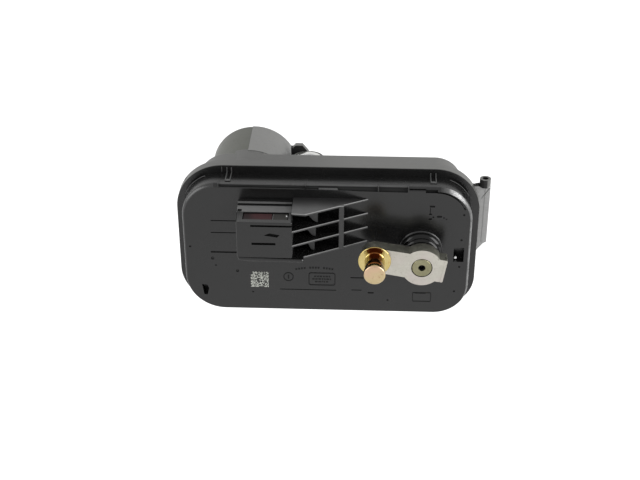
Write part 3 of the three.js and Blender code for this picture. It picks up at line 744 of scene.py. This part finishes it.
    # four-sided relief on the face of the shroud
    relief = [(-26.3, 17.6), (-23.4, 18.9), (-19.4, 17.9), (-20.6, 16.7)]
    cut(cover, prism("c", relief, y0 - 1, y0 + 1.2))
    piece(cover, "cover_shell", "case", M_COVER, ["cover"], zones=[
        # the black cover's flange top takes the case's lighter roof tones: painted light, with painted shade
        # towards the left
        (M_ROOF_LIT_AND_SHADED, lambda c, n: c.y > 11.2 and n.z > 0.2),
        # cells between the ribs, without the plate's own face: a lighter tone that is painted light in the
        # shaded cells
        (M_CELL_FILL_LIGHT, lambda c, n: near(c, -14.6, RIB_FOOT, 4.4, 26.4) and c.y > -13 and n.z < 0.3
            and not (n.y < -0.9 and c.y > -0.5)),
        # top of the connector shroud, with two bands of painted light
        (M_SHROUD_TOP_LIT, lambda c, n: n.z > 0.3 and near(c, -39.3, -13.9, 22.9, 24.8) and -18.6 < c.y < -0.02),
        # top of the upper rib: painted light to the front, painted shade near the plate
        (M_RIB_TOP_LIT_AND_SHADED, lambda c, n: n.z > 0.5 and c.z > 26.1 and c.y < -0.02 and -14.2 < c.x < 18.5),
        # painted highlight on the front top edges of the ribs
        (M_EDGE_HIGHLIGHT, lambda c, n: n.z > 0.25 and n.y < -0.25 and c.y < -1.5 and near(c, -14.5, 18.6, 4, 27)),
        # snap tabs, corner beads and the stiffener, given a painted highlight
        (M_TAB_HIGHLIGHT, lambda c, n: 2.8 < c.y < 11.4 and c.z > 32.35
            and (near(c, -47.1, -42.2, 32, 36) or near(c, 45, 48, 32, 35))),
        (M_TAB_HIGHLIGHT, lambda c, n: 8.8 < c.y < 9.5 and off_corner(c) > 16.3 and c.z > 18 and abs(c.x) > CORNER[0]),
        (M_TAB_HIGHLIGHT, lambda c, n: n.y < -0.3 and c.y < -0.05 and near(c, -3.7, 4.9, 30.3, 31.3)),
        # floors of the tool lines and of the rebate, dull and dark: painted shade
        (M_MARK_AND_SHADE, lambda c, n: n.y < -0.2 and 0.3 < c.y < 0.45 and c.z < 29),
        (M_MARK_AND_SHADE, lambda c, n: n.y < -0.2 and 0.5 < c.y < 1.7 and near(c, -47, 48.3, 29.5, 31.5)),
        # front fillet at both sides and round the top corners: scuffs, with a painted highlight round the top
        # right corner and faintly down the right side
        (M_SCUFF_AND_HIGHLIGHT, lambda c, n: -0.97 < n.y < -0.1 and c.y < 1.9 and abs(c.x) > 49
            and (abs(c.x) > 62.1 or c.z > 16 and off_corner(c) > 14.4)),
        # painted highlight on the rounded brim above the rebate
        (M_BRIM_HIGHLIGHT, lambda c, n: n.y < -0.1 and n.z > 0.1 and 1.2 < c.y < 2.4
            and near(c, -47, 35.4, BRIM_Z, 33))])


make_cover()

# ---------------------------------------------------------------- the rest of the case

BARREL_R, BARREL_BORE = 20.3, 18.05
SKIN_R = 20.45          # raised skin over the right half of the barrel


def make_housing():
    flange = rim(*FLANGE)
    rings = [ring(flange, 0, 13.22), ring(flange, 0, 16.1), ring(flange, -0.35, 16.5)]
    # tub: width, height, corner radii, depth
    for w, h, radii, y in (
            (125.0, 64.4, (14.5, 16.5, 14, 14), 16.5), (123.2, 63.9, (13, 15.5, 13, 13), 17.4),
            (121.6, 63.8, (12.6, 15, 12.6, 12.6), 22.0), (121.4, 63.7, (12.4, 15, 12.4, 12.4), 30.6),
            (120.9, 63.2, (12.2, 14.6, 12.2, 12.2), 31.2), (120.2, 62.5, (12, 14.3, 12, 12), 31.5)):
        rings.append(ring(rim(w, h, radii), 0, y))
    body = loft("housing", rings)
    x, z = MOTOR
    barrel = [(0, 20), (BARREL_R, 20), (BARREL_R, 34), (20.15, 57.8), (19.9, 59.0), (19.2, 59.75),
              (18.2, 60.0), (0, 60)]
    skin = [(x - 0.6, z)] + arc(x, z, SKIN_R, 92, -60, 40)
    (ax, ay), (bx, by) = LUG_A, LUG_B
    gusset = [(-18.4, 27.6), (-17.6, 27.3), (-16.3, 28.8), (-13.0, 28.8), (-10.4, 25.6), (-9.6, 24.0),
              (-9.6, 10), (-18.4, 10)]
    boss = [(0, 28), (9.5, 28), (9.5, 33.4), (8.8, 34.2), (0, 34.2)]
    ear = [(60, 26.1), (67.6, 26.0), (72.55, 25.8), (72.55, -3.0), (71.3, -3.6), (67.4, -8.6), (60, -8.6)]
    web = [(65.8, 25.5), (65.8, 26.2), (68.0, 26.5), (69.7, 27.8), (69.7, 25.5)]
    union(body,
          turned("a", barrel, x, z, 96),
          prism("a", skin, 32.6, 58.4),
          # the lug that is seen, with its gusset, and its shorter twin
          bevel(post("a", ax, ay, LUG_R, LUG_LOW, 25.8, 56), 0.4, 2),
          block("a", ax - 3.5, ax + 3.5, 29, ay, 5.5, 23),
          bevel(prism("a", gusset, 46.7, 49.6), 0.25, 2),
          bevel(post("a", bx, by, LUG_R, LUG_LOW, 18.8, 56), 0.4, 2),
          block("a", bx - 5, bx + 5, 29, by, 5.5, 16),
          # boss of the rear shaft bush
          turned("a", boss, *SHAFT, 64),
          # side ear: post, plate, outer edge and web
          post("a", *EAR_POST, 2.5, 25.4, 29.25, 40, 2.45),
          bevel(prism("a", ear, 14.9, 17.3), 0.3, 2),
          bevel(block("a", 70.0, 72.58, 14.7, 17.8, -3.0, 26.0), 0.4, 2),
          bevel(prism("a", web, 16.0, 17.3), 0.2, 2))
    cut(body,
        post("c", ax, ay, LUG_BORE, 0, 31, 56), post("c", bx, by, LUG_BORE, 0, 31, 56),
        post("c", *EAR_POST, 1.35, 25, 31, 28),
        prism("c", round_rect(117.2, 59.2, 11.4, 12), 13.0, 28.6),
        rod("c", x, z, BARREL_BORE, 13, 58.2, 72))
    bevel(body, 0.2, 2, 40)
    # seat of the rear shaft bush, scoop round the foot of the ear's post, and a crease across the ear
    scoop = cut(rod("c", 69.4, 29.6, 4.4, 14, 16.4), post("c", *EAR_POST, 2.49, 20, 36, 40, 2.45))
    crease = prism("c", [(72.3, 24.9), (71.95, 25.1), (68.65, 19.9), (69.0, 19.7)], 14, 15.15)
    cut(body, rod("c", *SHAFT, 6.55, 13, 32.3, 64), scoop, crease)

    def off_post(c):
        return math.hypot(c.x - 70, c.y - 16)
    piece(body, "housing_shell", "case", M_CASE, ["housing"], zones=[
        # roof of the case, with painted shade towards the left
        (M_ROOF_LIT_AND_SHADED, lambda c, n: n.z > 0.2 and c.z > 12 and c.y < 31.6 and c.x < 67.6),
        # left and right half of the barrel: painted shade on the left half, painted light on the right half
        (M_BARREL_SHADED, lambda c, n: c.y > 31.6 and c.x < x - 0.7 and off(c, MOTOR) > 18.6),
        (M_BARREL_LIT, lambda c, n: 32.4 < c.y < 60.1 and x - 0.7 <= c.x < x + 21 and off(c, MOTOR) > 18.6),
        # painted shade on the gusset, apart from its light cap
        (M_DARK_AND_SHADE, lambda c, n: 46.6 < c.y < 49.7 and c.z > 9 and -18.5 < c.x < -9.5
            and (n.z < 0.3 or c.x < -17.5)),
        # ear in a lighter tone; painted shade in the bore of its post, the hollow behind the post and the
        # post's left side
        (M_LUG, lambda c, n: c.x > 67.6 and c.z < 26.2 and n.z < 0.6),
        (M_DARK_AND_SHADE, lambda c, n: off_post(c) < 1.5 and 24.9 < c.z < 29.2),
        (M_DARK_AND_SHADE, lambda c, n: near(c, 61.5, 72.4, 25.0, 28.6) and (n.z > 0.3 or c.y > 15.9) and n.x < 0.5),
        (M_DARK_AND_SHADE, lambda c, n: 26.1 < c.z < 28.5 and off_post(c) > 2 and n.x < 0.3 and c.y < 16.5)])


make_housing()


# ---------------------------------------------------------------- seal, lever, shaft and pin

PIN_ARM, PIN_ANGLE = 20.9, math.radians(170.4)      # drive pin, seen from the shaft
PIN = (SHAFT[0] + PIN_ARM * math.cos(PIN_ANGLE), SHAFT[1] + PIN_ARM * math.sin(PIN_ANGLE))
ARM_HALF = 5.9          # half width of the lever's arm, which ends in a half circle
SHAFT_R = 5             # of the shaft inside the case


def make_seal():
    lip = [(5.55, -5.0), (5.9, -5.55), (6.6, -5.85), (7.4, -5.75), (8.1, -5.2), (8.4, -4.5),
           (8.25, -3.85), (7.9, -3.45), (8.1, -3.2), (8.8, -2.9), (9.25, -2.3), (9.3, -1.7),
           (9.1, -1.15), (8.6, -0.85), (7.7, -0.8), (7.6, 1.6), (5.55, 1.8)]
    seal = turned("seal", lip, *SHAFT, 72)
    piece(seal, "shaft_seal_lip", "case", M_SEAL, ["shaft_seal"], 50)


def make_lever():
    ax, az = SHAFT
    a = PIN_ANGLE
    front, back = -15.5, -9.2

    def at(u, v):
        """The point u along the arm and v across it."""
        return (ax + u * math.cos(a) - v * math.sin(a), az + u * math.sin(a) + v * math.cos(a))
    lever = rod("lever", ax, az, 8.8, front, back, 96)
    arm = [at(5, -6.1), at(PIN_ARM, -ARM_HALF)]
    arm += [at(PIN_ARM + ARM_HALF * s, -ARM_HALF * k) for s, k in map(wave, range(10, 180, 10))]
    arm += [at(PIN_ARM, ARM_HALF), at(5, 6.1)]
    tail = [at(0, -5.6), at(0, 5.6), at(-9.9, 5.6), at(-10.3, 5.2), at(-10.3, -5.2), at(-9.9, -5.6)]
    union(lever, prism("a", arm, front, back), prism("a", tail, front, back))
    groove = [at(-9.1, -5.7), at(-9.1, 5.7), at(-8.85, 5.7), at(-8.85, -5.7)]
    cut(lever, rod("c", ax, az, 4.62, -20, 0, 64), rod("c", *PIN, 3.1, -20, 0, 48),
        prism("c", groove, front - 1, front + 0.15))
    bevel(lever, 0.28, 3, 40)
    piece(lever, "lever_plate", "output", M_LEVER, ["lever"], zones=[
        (M_LEVER_EDGE, lambda c, n: abs(n.y) < 0.4)])


def make_shaft():
    profile = [(0, -11.6), (1.3, -12.4), (1.36, -15.3), (1.6, -15.6), (2.6, -15.66), (3.9, -15.66),
               (4.15, -15.58), (4.35, -15.35), (4.45, -15.0), (4.5, -8.8), (4.6, -8.6), (5.25, -8.6),
               (5.4, -8.4), (5.4, -1.0), (SHAFT_R, -0.6), (SHAFT_R, 19), (5.6, 19), (5.6, 19.6),
               (SHAFT_R, 19.6), (SHAFT_R, 31.5), (4.7, 31.8), (0, 31.8)]
    shaft = turned("shaft", profile, *SHAFT, 72)
    # painted shade in the drilling in the end and in the seam in the lever's bore
    piece(shaft, "output_shaft_turned", "output", M_SHAFT, ["output_shaft"], 40, zones=[
        (M_DARK_AND_SHADE, lambda c, n: c.y < -11 and off(c, SHAFT) < 1.37),
        (M_DARK_AND_SHADE, lambda c, n: -15.4 < c.y < -8.5 and off(c, SHAFT) > 4.3)])


def make_pin():
    px, pz = PIN
    profile = [(0, -28), (3.9, -28), (4.25, -27.93), (4.5, -27.75), (4.65, -27.45), (4.68, -26.9),
               (4.66, -25.5), (4.55, -25.25), (4.15, -25.1), (4.02, -24.9), (4.0, -24.6), (4.12, -24.4),
               (4.28, -24.2), (4.3, -23.8), (4.3, -17.2), (4.42, -16.85), (4.8, -16.62), (6.7, -16.6),
               (6.98, -16.52), (7.13, -16.3), (7.13, -15.9), (7.0, -15.7), (6.7, -15.64), (3, -15.64),
               (3, -9.0), (2.9, -8.7), (2.5, -8.5), (0, -8.45)]
    pin = turned("pin", profile, px, pz, 72)
    # painted dark reflection along the top of the shank, its reflection on the flange, and painted shade in
    # the neck
    piece(pin, "drive_pin_turned", "output", M_PIN, ["drive_pin"], 40, zones=[
        (M_PIN_REFLECTION_AND_SHADE, lambda c, n: -25.2 < c.y < -16.8 and n.z > 0.1 and -2.5 < c.x - px < 3.1),
        (M_PIN_REFLECTION_AND_SHADE, lambda c, n: -16.9 < c.y < -16.4 and c.z > pz + 4 and abs(c.x - px) < 3.1 and n.y < -0.8),
        (M_PIN_REFLECTION_AND_SHADE, lambda c, n: -25.2 < c.y < -24.1 and off(c, PIN) < 4.25),
        (M_PIN_FACE, lambda c, n: c.y < -27.6)])


def make_fittings():
    """Mounting sleeves, the two lock pieces in the connector and the vent membrane."""
    for name, (x, y), top in (("lug_sleeve_a", LUG_A, 26), ("lug_sleeve_b", LUG_B, 19)):
        profile = [(4.2, 4.5), (4.6, 4.1), (5.0, 4.0), (6.2, 4.0), (6.6, 4.4), (6.6, top - 0.5),
                   (6.3, top - 0.1), (5.9, top), (4.9, top), (4.4, top - 0.2), (4.2, top - 0.6),
                   (4.2, top - 6)]
        sleeve = stand(turned("s", profile, 0, 0, 64), x, y)
        piece(sleeve, name + "_turned", "case", M_STEEL, [name], 40, zones=[
            (M_BORE_AND_GLINT, lambda c, n: c.z > top - 6 and math.hypot(c.x - x, c.y - y) < 4.5)])

    slide = bevel(block("s", -35.3, -23.1, -15.6, -10.2, 22.75, 23.6), 0.15, 2)
    piece(slide, "lock_slide_bar", "case", M_CARRIER, ["lock_slide"])
    end = bevel(block("s", -22.7, -16.2, -15.6, -10.2, 22.75, 23.65), 0.15, 2)
    union(end, post("s", -16.75, -12.4, 0.4, 23.2, 24.0, 20, 0.3))
    piece(end, "lock_end_bar", "case", M_GREY, ["lock_end"], zones=[
        # painted highlight on the top of the bar's left end
        (M_EDGE_HIGHLIGHT, lambda c, n: c.x < -22.5 and n.z > 0.1),
        # painted glint on the top of the small post
        (M_BORE_AND_GLINT, lambda c, n: c.z > 23.7 and c.x > -17.2)])
    vent = turned("v", [(0, 1.9), (0.55, 1.95), (0.66, 2.1), (0.66, 5.25), (0, 5.25)], 57.8, -3.85, 32)
    piece(vent, "vent_membrane", "case", M_MEMBRANE, ["vent_disc"], zones=[
        # painted shade on the sides of the vent membrane
        (M_DARK_AND_SHADE, lambda c, n: abs(n.y) < 0.3)])


make_seal()
make_lever()
make_shaft()
make_pin()
make_fittings()


# ---------------------------------------------------------------- marks without meaning

PATCH_X, PATCH_Z, PATCH_SIZE, PATCH_CELLS = -34.4, -20.4, 8.1, 20
PATCH_FILL = 0.52       # share of the cells that are marked
MARK_FOOT = 0.05        # the moulded marks start this deep in the plate
CELL_FACES = ((0, 1, 2, 3), (7, 6, 5, 4), (0, 4, 5, 1), (1, 5, 6, 2), (2, 6, 7, 3), (3, 7, 4, 0))


def make_patch(rnd):
    """A laser-marked block of random cells."""
    step = PATCH_SIZE / PATCH_CELLS
    e = step * 0.48
    verts, faces = [], []
    for i in range(PATCH_CELLS):
        for k in range(PATCH_CELLS):
            if rnd.random() < PATCH_FILL:
                cx, cz = PATCH_X + i * step + step / 2, PATCH_Z + k * step + step / 2
                faces += [tuple(len(verts) + q for q in face) for face in CELL_FACES]
                for y in (-0.035, 0.02):
                    verts += [(cx - e, y, cz - e), (cx + e, y, cz - e),
                              (cx + e, y, cz + e), (cx - e, y, cz + e)]
    piece(obj_from("patch", verts, faces), "code_patch", "case", M_CODE)


def frame_ring(cx, cz, w, h, r, t):
    """A raised rounded frame with lines of width t."""
    outer = round_rect(w, h, r, 8, cx, cz)
    inner = round_rect(w - 2 * t, h - 2 * t, r - t, 8, cx, cz)
    return loft("m", [[(x, y, z) for x, z in outline] for outline, y in (
        (outer, MARK_FOOT), (outer, -0.16), (inner, -0.16), (inner, MARK_FOOT))], closed=True)


def make_moulded_marks(rnd):
    """A frame with dashes, an arc of blocks, a ring with a bar and an empty frame."""
    marks = frame_ring(-2.0, -15.5, 12.2, 6.8, 1.2, 0.4)
    more = []
    for z, lo, hi in ((-14.1, -5.6, 1.6), (-15.5, -6.4, 2.4), (-16.9, -5.2, 1.0)):
        x = lo
        while x < hi:
            w = rnd.uniform(0.5, 1.2)
            more.append(block("m", x, x + w, -0.1, MARK_FOOT, z - 0.35, z + 0.3))
            x += w + 0.35
    for k in range(14):
        x = -14.0 + k * 1.25
        z = -9.5 - 0.012 * (x + 5) ** 2
        if k not in (4, 9):
            more.append(block("m", x, x + 0.85, -0.1, MARK_FOOT, z - 0.45, z + 0.45))
    stamp = [(1.9, MARK_FOOT), (1.9, -0.12), (2.35, -0.12), (2.35, MARK_FOOT)]
    more.append(turned("m", stamp, -17.2, -14.6, 40))
    more.append(block("m", -17.5, -16.9, -0.12, MARK_FOOT, -15.6, -13.6))
    more.append(frame_ring(43.5, -24.0, 8.5, 5.0, 0.6, 0.3))
    union(marks, *more)
    piece(marks, "moulded_marks", "case", M_MARK_AND_SHADE)


draws = random.Random(11)
make_patch(draws)
make_moulded_marks(draws)

# ---------------------------------------------------------------- carried-over inner parts

FINISH = {
    "sealing_bead": M_BEAD, "shaft_bush_front": M_BRONZE, "shaft_bush_rear": M_BRONZE,
    "shaft_circlip": M_STEEL, "output_sector": M_GEAR, "gear_one": M_GEAR, "gear_two": M_GEAR,
    "sensor_target": M_STEEL, "sensor_hub": M_DARK_AND_SHADE, "axle_one": M_STEEL, "axle_two": M_STEEL,
    "motor_can": M_STEEL, "motor_endbell": M_DARK_AND_SHADE, "magnet_upper": M_MAGNET, "magnet_lower": M_MAGNET,
    "armature_core": M_LAMINATED, "armature_winding": M_COPPER, "commutator": M_COPPER,
    "brush_upper": M_MAGNET, "brush_lower": M_MAGNET, "motor_shaft": M_STEEL, "motor_pinion": M_BRONZE,
    "motor_bush_front": M_BRONZE, "motor_bush_rear": M_BRONZE, "motor_screw_1": M_STEEL,
    "motor_screw_2": M_STEEL, "circuit_board": M_BOARD, "control_chip": M_DARK_AND_SHADE, "driver_chip": M_DARK_AND_SHADE,
    "sensor_chip": M_DARK_AND_SHADE, "capacitor_can": M_STEEL, "choke": M_MAGNET, "terminal_carrier": M_CARRIER,
}
FINISH.update({f"terminal_{k}": M_STEEL for k in range(1, 6)})
for node, material in FINISH.items():
    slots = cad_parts[node].data.materials
    slots.clear()
    slots.append(material)
